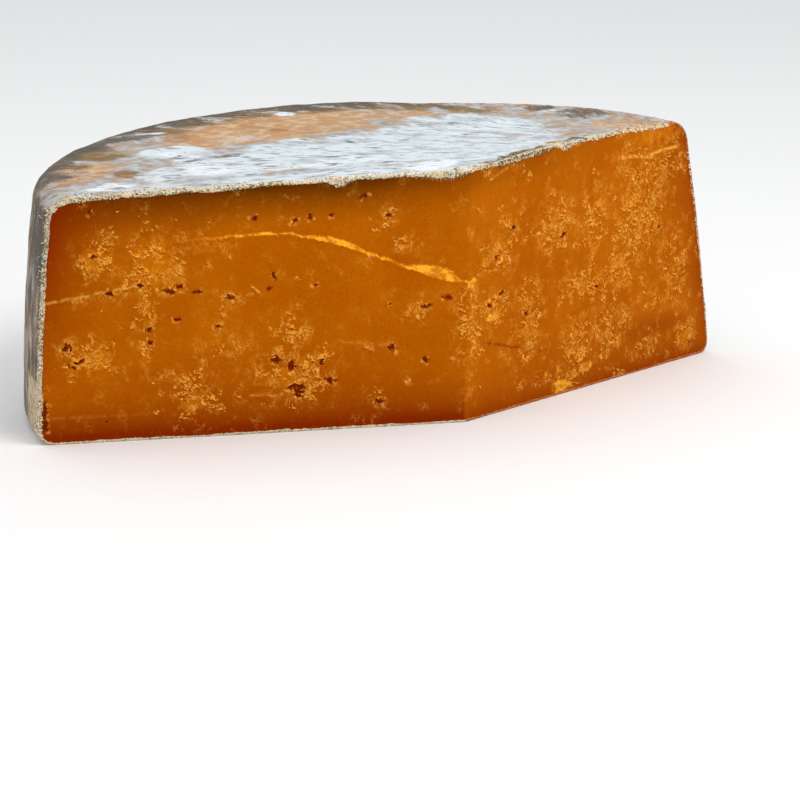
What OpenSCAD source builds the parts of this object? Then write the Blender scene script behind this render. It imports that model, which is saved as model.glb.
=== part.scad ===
// Cheddar wedge: a piece of a flat clothbound wheel, with two cut faces that meet at a blunt tip.
// It stands on the wheel's flat base. Millimetres, +Z up, tip towards -Y, origin under its middle.

/* [Wheel] */
// Diameter of the whole wheel at half its height
wheel_d = 369; // [300:1:450]
// Height of the wedge at its tip
tip_h = 125; // [100:0.5:155]
// How far the top falls from the tip to the left end
left_fall = 7.5; // [0:0.1:12]
// How far the top climbs from the tip to the right end
right_rise = 4.7; // [0:0.1:10]
// Height of the swell in the top along the right cut
right_swell = 2.4; // [0:0.1:4]
// How far behind the tip the swell fades out
swell_reach = 120; // [60:1:180]
// How far the top falls from the tip to the back
back_fall = 1; // [0:0.1:4]
// Depth of the dip in the top at the back right
back_dip = 1.9; // [0:0.1:4]
// How far right of the tip that dip is deepest
dip_aside = 95; // [60:1:120]
// How far to either side the dip reaches
dip_reach = 45; // [30:1:70]
// Height of the slow waves in the top
top_wave = 0.6; // [0:0.1:1.5]

/* [Cuts] */
// Angle between the two cut faces
cut_angle = 147; // [120:0.5:172]
// How far the tip lies in front of the wheel's middle
tip_ahead = 40.4; // [25:0.1:70]
// How far the tip lies right of the wheel's middle
tip_aside = 10.8; // [-25:0.1:25]
// Depth of the slow waves in the cut faces
cut_wave = 0.5; // [0:0.1:1.5]

/* [Side] */
// How far the foot of the side spreads at the left end
left_spread = 3.7; // [0:0.1:16]
// How far the foot of the side spreads at the back
back_spread = 4.2; // [0:0.1:16]
// How far the foot of the side spreads at the right end
right_spread = 14.4; // [0:0.1:18]
// How far the side bulges at half its height
side_bulge = 1.8; // [0:0.1:6]
// Radius of the round rim between the side and the top
rim_round = 10; // [4:0.5:16]
// Radius of the foot's edge at the left end
foot_round_left = 4; // [2:0.5:12]
// Radius of the foot's edge at the right end
foot_round_right = 9; // [2:0.5:14]

/* [Ledge] */
// How far the paste above the ledge lies behind the paste below it
ledge_depth = 2.6; // [0:0.1:5]
// Height of the ledge's slope
ledge_rise = 2.4; // [1:0.1:5]
// How far the ledge's highest stretch lies under the top at the tip
ledge_under_top = 27.5; // [24:0.5:45]
// How far the ledge comes down from there to the tip
ledge_drop = 27.5; // [5:0.5:32]
// How far from the tip the ledge reaches its full height
ledge_climb = 100; // [40:1:120]
// How far from the tip the ledge fades out
ledge_len = 160; // [110:1:165]
// How far from the tip the ledge is deepest
ledge_deepest = 18; // [8:1:30]

/* [Hidden] */

// Facets
right_steps = 30;    // along the right cut face
left_steps = 36;     // along the left cut face
arc_steps = 44;      // round the rim of the wheel
foot_steps = 3;      // up the foot's edge
low_steps = 9;       // from the foot to the ledge
high_steps = 6;      // from the ledge to the rim
rim_steps = 4;       // over the rim
cap_steps = 8;       // from the edge of the top to its middle

right_dir = 90 - cut_angle / 2;
left_dir = 90 + cut_angle / 2;
wheel_middle = [-tip_aside, tip_ahead];
ledge_tip_z = tip_h - ledge_under_top - ledge_drop;

function mix(a, b, t) = a + (b - a) * t;
function ease(t) = let (c = min(1, max(0, t))) c * c * (3 - 2 * c);
function bezier(a, b, c, t) = mix(mix(a, b, t), mix(b, c, t), t);
function along(dir) = [cos(dir), sin(dir)];

// Place round the wheel: 0 at the right end, 1 at the left end.
function foot_at(turn) = mix(foot_round_right, foot_round_left, turn);
function spread_at(turn) = bezier(right_spread, back_spread, left_spread, turn);

// Distance from the tip, in direction dir, to a circle of radius r round the wheel's middle.
function reach(dir, r) = let (m = wheel_middle * along(dir))
    m + sqrt(m * m - wheel_middle * wheel_middle + r * r);

// Radius of the side at a height, with rim_in taken off where an edge is rounded.
function side_r(turn, z, h, rim_in) = let (u = z / h)
    wheel_d / 2 + spread_at(turn) * (1 - 2 * u) + 4 * side_bulge * u * (1 - u) - rim_in;

// Ends of the cuts at the top, and the top's height: a parabola through the three corners,
// with the swell, the fall towards the back and the slow waves on it.
end_x_left = reach(left_dir, wheel_d / 2 - left_spread) * cos(left_dir);
end_x_right = reach(right_dir, wheel_d / 2 - right_spread) * cos(right_dir);
function swell(p) = p.x < 0 || p.x > end_x_right ? 0
    : right_swell * sin(180 * p.x / end_x_right) * (1 - ease(p.y / swell_reach));
function fall(p) = ease(2 * p.y / wheel_d)
    * (back_fall + back_dip * exp(-pow((p.x - dip_aside) / dip_reach, 2)));
function top_z(p) = let (x = p.x, l = end_x_left, r = end_x_right)
    (tip_h - left_fall) * x * (x - r) / (l * (l - r))
    + tip_h * (x - l) * (x - r) / (l * r)
    + (tip_h + right_rise) * x * (x - l) / (r * (r - l))
    + swell(p) - fall(p) + top_wave * sin(2.3 * x + 40) * sin(3.1 * p.y + 0.9 * x);

// Levels up the side. Each gives its height and how far an edge's rounding draws the side in.
function foot_level(k, foot) = let (a = 90 * k / foot_steps)
    [foot * (1 - cos(a)), foot * (1 - sin(a))];
function rim_level(k, h) = let (a = 90 * k / rim_steps)
    [h - rim_round * (1 - sin(a)), rim_round * (1 - cos(a))];
function levels(foot, h) = concat(
    [for (k = [0 : foot_steps - 1]) foot_level(k, foot)],
    [for (k = [0 : low_steps]) [mix(foot, ledge_tip_z, k / low_steps), 0]],
    [for (k = [0 : high_steps - 1])
        [mix(ledge_tip_z + ledge_rise, h - rim_round, k / high_steps), 0]],
    [for (k = [0 : rim_steps]) rim_level(k, h)]
);
level_count = foot_steps + low_steps + high_steps + rim_steps + 2;
ledge_level = foot_steps + low_steps;

// The ledge on the left cut face, by distance from the tip.
function ledge_lift(s) = ledge_drop * pow(sin(90 * min(1, s / ledge_climb)), 1.5)
    * (1 - ease((s - 0.8 * ledge_len) / (0.2 * ledge_len)));
function ledge_step(s) = ledge_depth * ease(s / ledge_deepest)
    * (1 - ease((s - ledge_deepest) / (ledge_len - ledge_deepest)));
// Levels are drawn up to the ledge where it climbs, and back to their places at top and foot.
function lifted(z, s, h) = z + ledge_lift(s)
    * min(z / ledge_tip_z, (h - z) / (h - ledge_tip_z));

// Slow waves of a cut face, none at its two ends.
function wave(s, z, len) = cut_wave * sin(180 * s / len) * sin(3.4 * s + 2.2 * z);

// A cut face's column: t is 0 at the tip and 1 at the end of the cut.
function cut_column(t, dir, out, turn, has_ledge) =
    let (foot = mix(foot_at(0.5), foot_at(turn), t))
    let (rough = t * reach(dir, wheel_d / 2))
    let (h = top_z(rough * along(dir)))
    let (rungs = levels(foot, h))
    [for (k = [0 : level_count - 1])
        let (z = rungs[k][0])
        let (end = reach(dir, side_r(turn, z, h, rungs[k][1])))
        let (s = t * end)
        let (face = wave(s, z, end) - (has_ledge && k > ledge_level ? ledge_step(s) : 0))
        let (plan = s * along(dir) + face * out)
        [plan.x, plan.y, k == level_count - 1 ? top_z(plan) : has_ledge ? lifted(z, s, h) : z]
    ];

// A column of the side, in direction dir from the tip.
function side_column(turn) =
    let (dir = mix(right_dir, left_dir, turn))
    let (h = top_z(reach(dir, wheel_d / 2 - rim_round) * along(dir)))
    let (rungs = levels(foot_at(turn), h))
    [for (k = [0 : level_count - 1])
        let (r = reach(dir, side_r(turn, rungs[k][0], h, rungs[k][1])))
        [r * cos(dir), r * sin(dir), rungs[k][0]]
    ];

right_out = along(right_dir - 90);
left_out = along(left_dir + 90);

// All columns in order round the wedge, from the tip along the right cut, round and back.
columns = concat(
    [for (i = [0 : right_steps - 1]) cut_column(i / right_steps, right_dir, right_out, 0, false)],
    [for (i = [0 : arc_steps - 1]) side_column(i / arc_steps)],
    [for (i = [0 : left_steps - 1]) cut_column(1 - i / left_steps, left_dir, left_out, 1, true)]
);
count = len(columns);

// The top closes in rings that shrink to one middle point.
hub = wheel_middle + [0, 0.2 * wheel_d];
function cap_point(p, t) = let (q = mix([p.x, p.y], hub, t)) [q.x, q.y, top_z(q)];
rings = concat(
    [for (k = [0 : level_count - 1]) [for (c = columns) c[k]]],
    [for (j = [1 : cap_steps - 1]) [for (c = columns) cap_point(c[level_count - 1], j / cap_steps)]]
);
ring_count = len(rings);
body_points = concat([for (ring = rings) each ring], [[hub.x, hub.y, top_z(hub)]]);
hub_index = ring_count * count;

function low_high(values) = [min(values), max(values)];
function middle(span) = (span[0] + span[1]) / 2;
origin = [
    middle(low_high([for (p = body_points) p.x])),
    middle(low_high([for (p = body_points) p.y])),
    0
];

module wedge()
    color("darkorange")
    translate(-origin)
    polyhedron(
        points = body_points,
        faces = concat(
            [[for (i = [0 : count - 1]) i]],
            [for (k = [0 : ring_count - 2], i = [0 : count - 1])
                let (a = k * count + i, b = k * count + (i + 1) % count)
                each [[a, a + count, b + count], [a, b + count, b]]
            ],
            [for (i = [0 : count - 1])
                [hub_index - count + i, hub_index, hub_index - count + (i + 1) % count]
            ]
        ),
        convexity = 4
    );

wedge();
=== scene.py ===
"""Cheddar wedge: the finish of a piece of clothbound wheel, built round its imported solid."""

import math
import random

import bmesh
import bpy
from bpy.props import FloatProperty, FloatVectorProperty, IntProperty, PointerProperty
from mathutils import Matrix, Vector, noise


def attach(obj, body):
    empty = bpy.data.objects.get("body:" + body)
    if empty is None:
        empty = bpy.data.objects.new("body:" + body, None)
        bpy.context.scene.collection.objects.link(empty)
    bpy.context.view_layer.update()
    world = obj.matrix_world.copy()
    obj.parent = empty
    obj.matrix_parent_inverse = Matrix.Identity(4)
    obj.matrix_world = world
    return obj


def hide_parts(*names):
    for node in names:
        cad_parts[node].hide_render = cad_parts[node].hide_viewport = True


bl_info = {
    "name": "Cheddar Wedge",
    "version": (1, 0, 0),
    "blender": (4, 5, 0),
    "location": "3D View > Sidebar > Cheese",
    "description": "Models a wedge of clothbound cheddar with its crumbly cuts and mouldy rind",
    "category": "Object",
}

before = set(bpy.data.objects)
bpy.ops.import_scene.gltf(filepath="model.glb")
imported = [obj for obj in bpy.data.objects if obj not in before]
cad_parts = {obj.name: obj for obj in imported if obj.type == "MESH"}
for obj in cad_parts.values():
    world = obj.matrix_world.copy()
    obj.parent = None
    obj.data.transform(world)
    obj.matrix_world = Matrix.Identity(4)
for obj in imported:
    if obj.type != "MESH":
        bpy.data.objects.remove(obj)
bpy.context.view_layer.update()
NODE = "wedge"
BODY = "root"
MM = 0.001

# Without a seed, noise_vector starts from the clock and every run scatters its flecks anew.
NOISE_SEED = 7
noise.seed_set(NOISE_SEED)


def packed_points():
    """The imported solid's corners."""
    return [vertex.co.copy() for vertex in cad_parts[NODE].data.vertices]


POINTS = packed_points()
TIP = min(POINTS, key=lambda p: p.y).to_2d().to_3d()
TIP_HEIGHT = max(p.z for p in POINTS if (p.to_2d() - TIP.to_2d()).length < MM)
LEFT_END = min(POINTS, key=lambda p: p.x).to_2d().to_3d()
RIGHT_END = max(POINTS, key=lambda p: p.x).to_2d().to_3d()
UP = Vector((0, 0, 1))


class Cut:
    """One of the two cut faces: a plane through the tip, with the way along it and out of it."""

    def __init__(self, name, end, turn):
        self.name = name
        self.along = (end - TIP).normalized()
        self.out = turn * self.along.cross(UP)
        self.length = (end - TIP).length

    def behind(self, point):
        """How far a point lies behind the cut, into the cheese."""
        return (TIP - point).dot(self.out)

    def place(self, point):
        """Where a point lies on the cut: how far from the tip, and how high. In millimetres."""
        return (point - TIP).dot(self.along) / MM, point.z / MM

    def point(self, along, high, out=0.0):
        """The point at a place given in millimetres, with how far it stands out of the cut."""
        return TIP + (along * self.along + out * self.out + high * UP) * MM


LEFT = Cut("left", LEFT_END, -1)
RIGHT = Cut("right", RIGHT_END, 1)
CUTS = (LEFT, RIGHT)

# What is painted on the meshes, for the materials.
PASTE_LOOKS = ("pit", "fleck", "torn", "crumbly", "near_rind", "ruddy")
RIND_LOOKS = ("bloom", "thick", "tan", "olive", "dark", "cream", "bare")


# ---------------------------------------------------------------- settings


def length(name, description, default, low=0.0, high=1.0):
    """A setting that is a length."""
    return FloatProperty(
        name=name, description=description, default=default, min=low, max=high, unit="LENGTH", precision=5
    )


def whole(name, description, default):
    """A setting that is a whole number."""
    return IntProperty(name=name, description=description, default=default)


def angle(name, description, degrees):
    """A setting that is an angle."""
    return FloatProperty(name=name, description=description, default=math.radians(degrees), subtype="ANGLE")


def power(name, description, watts):
    """A setting that is the power of a light."""
    return FloatProperty(name=name, description=description, default=watts, unit="POWER")


def colour(name, description, default):
    """A setting that is a colour, as it looks."""
    return FloatVectorProperty(
        name=name, description=description, default=default, size=3, min=0, max=1, subtype="COLOR_GAMMA"
    )


class CheddarSizes(bpy.types.PropertyGroup):
    """Sizes of the wheel that the wedge was cut from, of its rind and of its cut faces."""

    wheel_radius: length("Wheel radius", "Radius of the wheel at half its height", 184.5 * MM)
    wheel_ahead: length("Tip ahead", "How far the tip lies in front of the wheel's middle", 40.4 * MM)
    wheel_aside: length("Tip aside", "How far the tip lies right of the wheel's middle", 10.8 * MM)
    left_fall: length("Left fall", "How far the top falls from the tip to the left end", 7.5 * MM)
    right_rise: length("Right rise", "How far the top climbs from the tip to the right end", 4.7 * MM)
    right_swell: length("Right swell", "Height of the swell in the top along the right cut", 2.4 * MM)
    swell_reach: length("Swell reach", "How far behind the tip that swell fades out", 120 * MM)
    back_fall: length("Back fall", "How far the top falls from the tip to the back", 1.0 * MM)
    back_dip: length("Back dip", "Depth of the dip in the top at the back right", 1.9 * MM)
    dip_aside: length("Dip aside", "How far right of the tip that dip is deepest", 95 * MM)
    dip_reach: length("Dip reach", "How far to either side that dip reaches", 45 * MM)
    left_spread: length("Left spread", "How far the foot of the side spreads at the left", 3.7 * MM)
    back_spread: length("Back spread", "How far the foot of the side spreads at the back", 4.2 * MM)
    right_spread: length("Right spread", "How far the foot of the side spreads at the right", 14.4 * MM)
    side_bulge: length("Side bulge", "How far the side bulges at half its height", 1.8 * MM)
    rim_round: length("Rim radius", "Radius of the round rim between side and top", 10 * MM)
    foot_round: length("Foot radius", "Radius of the edge between side and base", 6 * MM)
    rind_thick: length("Rind thickness", "Thickness of the rind", 1.5 * MM)
    paste_inset: length("Paste inset", "How far the paste lies under the rind's outside", 1.0 * MM)
    crumb_count: whole("Crumbs", "Number of dry crumbs on each cut", 1700)
    thread_count: whole("Threads", "Number of threads along the top of the cuts", 110)
    crust_count: whole("Crust", "Number of grains in the crust of the rind's edge", 4200)
    cell: length("Cut cell", "Size of the plain squares in the cut faces", 1.3 * MM)
    rind_cell: length("Rind cell", "Size of the squares in the rind", 2.7 * MM)
    seed: whole("Seed", "Seed of the crumbs, threads and grains", 7)


class CheddarColours(bpy.types.PropertyGroup):
    """Colours of the paste and the rind, as they look in daylight."""

    paste: colour("Paste", "The even paste", (0.69, 0.345, 0.004))
    # Deep and ruddy paste are partly painted shade: under the rind's lip, and near the side and the base.
    paste_deep: colour("Deep paste", "The paste near the rind", (0.37, 0.175, 0.008))
    paste_ruddy: colour("Ruddy paste", "The paste near the side and the base", (0.50, 0.13, 0.005))
    # Torn and waxy paste also paint the light from above on the left ledge's upward slope, the waxy one as a
    # painted highlight.
    paste_gold: colour("Torn paste", "Torn, waxy places in the paste", (0.84, 0.48, 0.035))
    paste_wax: colour("Waxy paste", "The brightest torn places", (0.95, 0.68, 0.12))
    fleck: colour("Fleck", "Dry crumbs and torn edges", (0.98, 0.69, 0.27))
    # Painted shade: the deep red-brown that pits, dark splits and the paste under flecks are given.
    pit: colour("Pit", "The bottom of pits and cracks", (0.52, 0.15, 0.03))
    bloom: colour("Bloom", "Brushed bluish-white mould", (0.83, 0.865, 0.885))
    thick: colour("Thick bloom", "Thick white mould", (0.91, 0.93, 0.945))
    tan: colour("Tan", "Bare cloth with little mould", (0.73, 0.56, 0.38))
    grey: colour("Grey", "Grey-brown cloth on the side", (0.64, 0.57, 0.52))
    olive: colour("Olive", "Olive-brown patches", (0.46, 0.37, 0.17))
    bloom_grey: colour("Thin bloom", "Mould so thin that the cloth shows", (0.72, 0.75, 0.77))
    ash: colour("Ash", "Fine grey strokes of the brush", (0.36, 0.38, 0.38))
    peach: colour("Peach", "Pale places in the bare cloth", (0.82, 0.70, 0.58))
    rust: colour("Rust", "Brown places in the bare cloth", (0.66, 0.46, 0.30))
    khaki: colour("Khaki", "Crust along the cut edges", (0.66, 0.58, 0.40))
    dark: colour("Dark mould", "Dark grey-green mould", (0.32, 0.32, 0.30))
    cream: colour("Cream", "The rind's cut edge", (0.92, 0.85, 0.72))


class CheddarStage(bpy.types.PropertyGroup):
    """Where the camera stands, and the light."""

    azimuth: angle("Azimuth", "Turn of the camera round the wedge", -29.89)
    elevation: angle("Elevation", "Height of the camera as an angle", 16.03)
    roll: angle("Roll", "Tilt of the picture", 0.68)
    distance: length("Distance", "From the camera to its target", 1.2223, 0.1, 10)
    target: FloatVectorProperty(
        name="Target",
        description="What the camera looks at, from the tip",
        default=(-0.0264, 0.0185, 0.01),
        unit="LENGTH",
    )
    lens: FloatProperty(name="Lens", description="Focal length, in millimetres", default=112.5)
    key_power: power("Key light", "Power of the key light", 11.0)
    fill_power: power("Fill light", "Power of the fill light", 2.5)
    sky: FloatProperty(name="Sky", description="Strength of the even light all round", default=0.78)


# ---------------------------------------------------------------- small helpers


def mix(a, b, t):
    """a at 0, b at 1 and straight between."""
    return a + (b - a) * t


def ease(t):
    """0 up to 0, 1 from 1 on and eased between."""
    t = min(1.0, max(0.0, t))
    return t * t * (3 - 2 * t)


def ramp(value, low, high):
    """0 at low, 1 at high and eased between."""
    return ease((value - low) / (high - low))


def rough(point, size, octaves=3, seed=0):
    """Cloudy noise from about -1 to 1 with lumps of a size."""
    return noise.fractal(point / size + Vector((17.3, 5.1, 9.7)) * seed, 1.0, 2.0, octaves)


def wheel_middle(sizes):
    """The middle of the wheel's base."""
    return TIP + Vector((-sizes.wheel_aside, sizes.wheel_ahead, 0))


# ---------------------------------------------------------------- the wheel's form

# Points closer than this count as one.
SAME = 1e-6
# Cells of what the rind hides, on the side, the top and the base, and its steps round the wheel.
HIDDEN_CELLS = (8 * MM, 25 * MM, 25 * MM)
HIDDEN_STEP = 12 * MM
# How far behind the cuts the rind's inner wall ends, in millimetres.
WALL_BEHIND = 6
# Edges sharper than this stay sharp in the paste.
SHARP = math.radians(50)


def reach(sizes, cut, radius):
    """How far from the tip a cut meets a circle round the wheel's middle."""
    middle = wheel_middle(sizes) - TIP
    along = middle.dot(cut.along)
    return along + math.sqrt(along**2 - middle.length_squared + radius**2)


def top_height(sizes, point):
    """Height of the top: a parabola through the tip and both ends, with a swell and a fall to the back."""
    x, y, _ = point - TIP
    left = reach(sizes, LEFT, sizes.wheel_radius - sizes.left_spread) * LEFT.along.x
    right = reach(sizes, RIGHT, sizes.wheel_radius - sizes.right_spread) * RIGHT.along.x
    swell = 0.0
    if 0 < x < right:
        swell = sizes.right_swell * math.sin(math.pi * x / right) * (1 - ease(y / sizes.swell_reach))
    dip = math.exp(-(((x - sizes.dip_aside) / sizes.dip_reach) ** 2))
    fall = ease(y / sizes.wheel_radius) * (sizes.back_fall + sizes.back_dip * dip)
    return swell - fall + (
        (TIP_HEIGHT - sizes.left_fall) * x * (x - right) / (left * (left - right))
        + TIP_HEIGHT * (x - left) * (x - right) / (left * right)
        + (TIP_HEIGHT + sizes.right_rise) * x * (x - left) / (right * (right - left))
    )


def spread(sizes, turn):
    """How far the side's foot spreads, from 0 at the right end to 1 at the left end."""
    turn = min(1.1, max(-0.1, turn))
    first = mix(sizes.right_spread, sizes.back_spread, turn)
    second = mix(sizes.back_spread, sizes.left_spread, turn)
    return mix(first, second, turn)


def turn_of(point):
    """Where a place lies round the wedge: 0 along the right cut, 1 along the left cut."""
    away = point - TIP
    start = math.atan2(RIGHT.along.y, RIGHT.along.x)
    end = math.atan2(LEFT.along.y, LEFT.along.x)
    return (math.atan2(away.y, away.x) - start) / (end - start)


def swelling(sizes, point):
    """How far the side stands out of an even wheel at a place, because it leans and bulges."""
    up = point.z / TIP_HEIGHT
    return spread(sizes, turn_of(point)) * (1 - 2 * up) + 4 * sizes.side_bulge * up * (1 - up)


def side_gap(sizes, point):
    """How far a point lies inside the wheel's side."""
    return sizes.wheel_radius + swelling(sizes, point) - (point - wheel_middle(sizes)).to_2d().length


def settle(sizes, point):
    """Moves a point of an even wheel to where it lies in the real one."""
    middle = wheel_middle(sizes)
    away = (point - middle).to_2d() * (1 + swelling(sizes, point) / sizes.wheel_radius)
    height = point.z / TIP_HEIGHT * top_height(sizes, point)
    return Vector((middle.x + away.x, middle.y + away.y, height))


def wheel_outline(sizes, inset, side_cell, top_cell, base_cell):
    """Half of the wheel's section, from the middle of the top to the middle of the base."""
    radius, high, low = sizes.wheel_radius - inset, TIP_HEIGHT - inset, inset
    rim, foot = sizes.rim_round - inset, sizes.foot_round - inset

    def steps(distance, cell):
        return max(2, round(distance / cell))

    def corner(middle_r, middle_z, size, start):
        count = steps(size * math.pi / 2, side_cell)
        for i in range(count):
            angle = start - math.pi / 2 * i / count
            yield middle_r + size * math.cos(angle), middle_z + size * math.sin(angle)

    count = steps(radius - rim, top_cell)
    outline = [((radius - rim) * i / count, high) for i in range(count)]
    outline += corner(radius - rim, high - rim, rim, math.pi / 2)
    count = steps(high - low - rim - foot, side_cell)
    outline += [(radius, mix(high - rim, low + foot, i / count)) for i in range(count)]
    outline += corner(radius - foot, low + foot, foot, 0)
    count = steps(radius - foot, base_cell)
    outline += [((radius - foot) * (1 - i / count), low) for i in range(count + 1)]
    return outline


def spin_wheel(bm, sizes, outline, step):
    """Spins half a section into a whole wheel and settles it into its real form."""
    middle = wheel_middle(sizes)
    verts = [bm.verts.new(middle + Vector((0, -r, z))) for r, z in outline]
    edges = [bm.edges.new(pair) for pair in zip(verts, verts[1:])]
    bmesh.ops.spin(
        bm,
        geom=verts + edges,
        cent=middle,
        axis=UP,
        angle=math.tau,
        steps=round(math.tau * sizes.wheel_radius / step),
        use_merge=True,
    )
    bmesh.ops.remove_doubles(bm, verts=bm.verts[:], dist=SAME)
    bmesh.ops.recalc_face_normals(bm, faces=bm.faces[:])
    for vert in bm.verts:
        vert.co = settle(sizes, vert.co)


def hidden_wheel(bm, sizes, inset):
    """A coarse wheel inside the rind's outside, where it shows only at the cuts."""
    spin_wheel(bm, sizes, wheel_outline(sizes, inset, *HIDDEN_CELLS), HIDDEN_STEP)


def slice_at(bm, cut, behind=0, clear=False):
    """Slices a mesh so many millimetres behind a cut. With clear, takes away what lies in front."""
    return bmesh.ops.bisect_plane(
        bm,
        geom=bm.verts[:] + bm.edges[:] + bm.faces[:],
        dist=SAME,
        plane_co=TIP - cut.out * behind * MM,
        plane_no=cut.out,
        clear_outer=clear,
    )


def cut_off(bm, cut, fill):
    """Cuts away what lies in front of a cut face. With fill, closes the wound with one face."""
    result = slice_at(bm, cut, clear=True)
    if fill:
        edges = [item for item in result["geom_cut"] if isinstance(item, bmesh.types.BMEdge)]
        bmesh.ops.holes_fill(bm, edges=edges, sides=0)


def faces_of(items):
    """The faces among the items that an operation made."""
    return [item for item in items if isinstance(item, bmesh.types.BMFace)]


def with_edges(faces):
    """The faces with their edges and corners, as bisect_plane wants them."""
    items = dict.fromkeys(faces)
    for face in faces:
        items.update(dict.fromkeys(face.edges))
        items.update(dict.fromkeys(face.verts))
    return list(items)


def dice(bm, faces, start, direction, step):
    """Cuts faces into strips square to a direction, and returns the strips."""
    rest, strips, place = faces, [], step
    while rest:
        result = bmesh.ops.bisect_plane(
            bm, geom=with_edges(rest), dist=SAME, plane_co=start + direction * place, plane_no=direction
        )
        found, rest = faces_of(result["geom"]), []
        for face in found:
            far = (face.calc_center_median() - start).dot(direction) > place
            (rest if far else strips).append(face)
        place += step
    return strips


def on_cut(cut, point, near=1e-5):
    """Whether a point lies in the plane of a cut."""
    return abs(cut.behind(point)) < near


def cut_faces(bm, cut):
    """The faces that lie in the plane of a cut."""
    return [face for face in bm.faces if all(on_cut(cut, vert.co) for vert in face.verts)]


def divide(bm, faces):
    """Divides faces into quarters."""
    edges = list(dict.fromkeys(edge for face in faces for edge in face.edges))
    bmesh.ops.subdivide_edges(bm, edges=edges, cuts=1, use_grid_fill=True)


def finish_piece(bm, name, material, smooth=True):
    """Turns a bmesh into a piece that rides with the wedge and stands for its solid."""
    for face in bm.faces:
        face.smooth = smooth
    mesh = bpy.data.meshes.new(name)
    bm.to_mesh(mesh)
    bm.free()
    piece = bpy.data.objects.new(name, mesh)
    bpy.context.scene.collection.objects.link(piece)
    mesh.materials.append(material)
    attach(piece, BODY)
    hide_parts(NODE)
    return {"FINISHED"}


# ---------------------------------------------------------------- features of the cut faces, in millimetres

# Everywhere below, the last number of a noise's place only keeps its pattern apart from the others.

# The ledge on the left cut: how far from the tip it ends and is highest, and its heights.
LEDGE_END, LEDGE_CLIMB = 150.0, 100.0
LEDGE_LOW, LEDGE_HIGH = 70.0, 97.5

# How far from its middle a pit can reach, and a split's lip from its line.
PIT_REACH, SPLIT_REACH = 8, 9
# Main pits: distance from the tip, height, width, tallness, lean in degrees.
LEFT_PITS = (
    (104, 105, 3.0, 2.4, 0), (84.5, 103, 3.4, 1.6, -30), (77, 104.5, 3.0, 2.2, 20), (67, 105, 2.4, 1.8, 0),
    (51, 113.5, 3.6, 2.2, -20), (39.5, 104, 3.6, 2.4, 10), (95, 78, 1.8, 3.8, -20), (97, 71, 1.6, 2.0, 0),
    (116, 68, 5.0, 2.2, 8), (131.5, 71, 4.4, 1.6, 0), (145.5, 72, 6.5, 2.6, 6), (140, 74, 3.6, 2.4, 10),
    (158, 75, 3.2, 2.6, 0), (172.5, 72, 3.8, 3.0, 20), (179.5, 90, 3.2, 2.0, 15), (181, 111, 1.8, 2.6, 0),
    (193.5, 46, 4.0, 5.0, 15), (204.3, 14, 2.6, 18, 0), (121.5, 54, 4.0, 2.0, -35), (141, 58, 3.2, 1.6, 0),
    (154.5, 54, 2.6, 2.2, 0), (154, 47.5, 2.6, 2.2, 0), (38.5, 61, 1.8, 1.4, 0), (21, 59, 4.2, 2.2, -15),
    (10.5, 63, 5.0, 1.8, 0), (37.5, 39.5, 3.0, 4.2, -20), (21, 33, 2.4, 3.2, -15),
    (94, 36.5, 5.0, 3.4, 35), (86.5, 32.5, 2.8, 5.4, 0), (82.5, 20.5, 5.0, 5.2, 30),
    (86, 22.5, 6.0, 2.2, -20), (67.5, 24.5, 5.0, 3.0, 0), (72, 34, 2.2, 4.0, 20), (43, 13, 4.2, 2.4, 0),
    (74.5, 72, 3.0, 1.2, 0), (187, 40, 6.0, 2.0, -25), (191, 37.5, 5.0, 1.6, 10), (175, 9.7, 1.8, 1.4, 0),
)
RIGHT_PITS = (
    (32.5, 91.8, 3.4, 3.0, -30), (70.5, 83, 3.6, 2.6, 30), (20, 79, 2.4, 3.0, 20), (16, 56, 5.0, 2.2, -25),
    (24.5, 61, 3.4, 2.0, 30), (44, 47, 2.0, 3.0, 10), (98, 52, 2.4, 1.8, 0), (148, 76, 2.4, 1.8, 0),
)
# Crumbly places: distance from the tip, height, half width, half tallness, strength.
LEFT_CRUMBLY = (
    (152, 84, 11, 13, 1.0), (179, 87, 8, 8, 0.9), (155, 58, 5, 15, 0.9), (185, 40, 13, 8, 1.0),
    (87, 50, 9, 11, 0.9), (82, 29, 15, 13, 1.0), (134, 20, 12, 9, 0.9), (142, 30, 11, 3, 0.8),
    (1, 50, 5, 16, 0.9), (25, 56, 5, 5, 0.8), (40, 103, 5, 7, 0.8), (30, 91, 9, 4, 0.7),
    (122, 43, 10, 10, 0.6), (173, 100, 4, 7, 0.7), (170, 72, 8, 4, 0.8), (190, 70, 12, 2.5, 0.8),
    (116, 67, 8, 4, 0.7), (104, 36, 6, 10, 0.6), (44, 14, 6, 6, 0.7), (120, 92, 9, 4, 0.4),
    (134, 95, 8, 5, 0.5), (110, 18, 8, 4, 0.5),
)
RIGHT_CRUMBLY = (
    (4, 48, 7, 16, 0.9), (20, 80, 13, 8, 0.8), (30, 98, 8, 8, 0.5), (22, 55, 12, 7, 0.9),
    (64, 88, 12, 12, 0.9), (46, 44, 8, 18, 0.8), (95, 86, 9, 14, 0.8), (90, 55, 18, 7, 0.8),
    (130, 82, 18, 16, 1.0), (118, 60, 15, 12, 0.8), (140, 108, 22, 9, 0.9), (120, 113, 10, 9, 0.7),
    (84, 20, 10, 14, 1.0), (108, 28, 14, 12, 0.9), (78, 8, 12, 7, 0.8), (165, 48, 8, 12, 0.7),
    (158, 60, 8, 12, 0.6), (174, 14, 8, 8, 0.8), (150, 38, 16, 6, 0.5), (40, 26, 10, 6, 0.6),
    (60, 12, 8, 6, 0.5), (140, 12, 10, 6, 0.6),
)
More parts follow.
